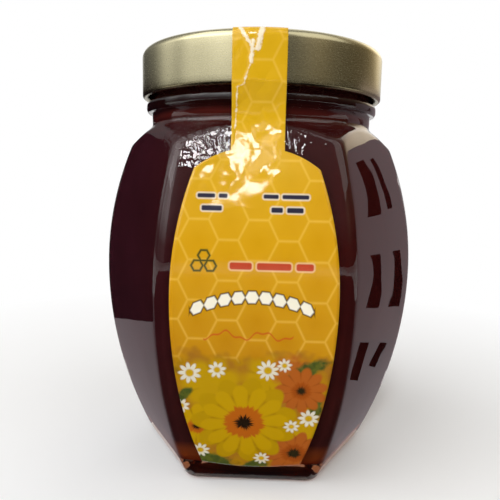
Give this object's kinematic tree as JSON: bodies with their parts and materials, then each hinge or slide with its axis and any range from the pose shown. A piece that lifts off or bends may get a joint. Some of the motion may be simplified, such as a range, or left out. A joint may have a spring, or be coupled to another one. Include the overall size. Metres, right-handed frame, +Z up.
{
  "type": "honey jar",
  "caption": "Six-sided, barrel-shaped glass jar of dark honey, shut with a round twist-off lid, with a one-piece front label that runs up as a strip over the lid.",
  "frame": {"origin": "centre of the base, on the plane that the foot stands on", "axes": "+Z up along the jar's axis, -Y out of the labelled side, +X to the right of someone who faces the label"},
  "size_m": [0.0888, 0.0781, 0.1114],
  "materials": {
    "glass": "gloss",
    "honey": "gloss",
    "lid_metal": "satin",
    "label_film": "gloss"
  },
  "bodies": {
    "root": {"jar": "glass", "honey": "honey", "lid": "lid_metal", "label": "label_film"}
  },
  "joints": []
}
